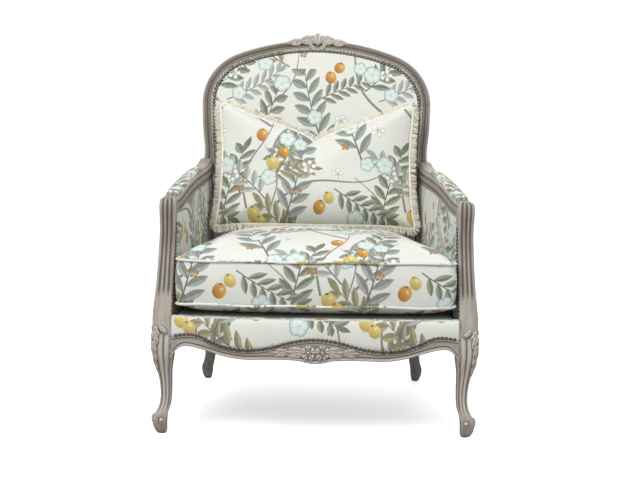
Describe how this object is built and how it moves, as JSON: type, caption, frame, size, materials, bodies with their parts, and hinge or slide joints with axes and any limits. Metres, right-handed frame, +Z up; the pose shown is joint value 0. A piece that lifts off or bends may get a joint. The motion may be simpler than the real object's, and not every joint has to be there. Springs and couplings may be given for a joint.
{
  "type": "bergere chair",
  "caption": "Closed-arm upholstered armchair with a carved show-wood frame, cabriole front legs, a loose boxed seat cushion and a loose fringed lumbar pillow.",
  "frame": {"origin": "on the floor under the middle of the chair's box", "axes": "+X to the viewer's right when facing the chair, +Y towards its back, +Z up"},
  "size_m": [0.781, 0.8057, 1.0197],
  "materials": {
    "show_wood": "grey wash over a pale hardwood, satin",
    "frame_wood": "raw hardwood",
    "glide": "nail-on glide, satin",
    "nail": "dark pewter upholstery nails",
    "webbing": "woven webbing",
    "dust_cloth": "black cambric",
    "stuffing": "wadding and foam",
    "lining": "plain decking cloth",
    "fringe": "cream brush fringe",
    "print_cloth": "linen with a leaf and blossom print"
  },
  "bodies": {
    "chair_frame": {"arm_pad_left": "print_cloth", "arm_pad_right": "print_cloth", "arm_post_left": "show_wood", "arm_post_right": "show_wood", "armrest_left": "show_wood", "armrest_right": "show_wood", "back_bottom_rail": "frame_wood", "back_post_left": "show_wood", "back_post_right": "show_wood", "back_seat_rail": "frame_wood", "back_webbing": "webbing", "corner_block_back_left": "frame_wood", "corner_block_back_right": "frame_wood", "corner_block_front_left": "frame_wood", "corner_block_front_right": "frame_wood", "crest_rail": "show_wood", "deck_cover": "lining", "deck_pad": "stuffing", "dust_cover": "dust_cloth", "foot_glides": "glide", "front_border": "print_cloth", "front_leg_left": "show_wood", "front_leg_right": "show_wood", "front_nail_strip": "nail", "front_rail": "show_wood", "inside_arm_left": "print_cloth", "inside_arm_right": "print_cloth", "inside_back_cover": "print_cloth", "inside_back_nail_strip": "nail", "inside_back_pad": "stuffing", "outside_arm_left": "print_cloth", "outside_arm_right": "print_cloth", "outside_back_cover": "print_cloth", "seat_webbing": "webbing", "side_rail_left": "show_wood", "side_rail_right": "show_wood"},
    "seat_cushion": {"cushion_core": "stuffing", "cushion_cover": "print_cloth", "cushion_welt_bottom": "print_cloth", "cushion_welt_top": "print_cloth"},
    "pillow": {"pillow_cover": "print_cloth", "pillow_fringe": "fringe", "pillow_insert": "stuffing"}
  },
  "joints": [
    {"name": "seat_cushion_lift", "type": "slide", "parent": "chair_frame", "child": "seat_cushion", "axis": [0, 0, 1], "range_m": [0, 0.36]},
    {"name": "pillow_lift", "type": "slide", "parent": "seat_cushion", "child": "pillow", "axis": [0, 0, 1], "range_m": [0, 0.58]}
  ]
}
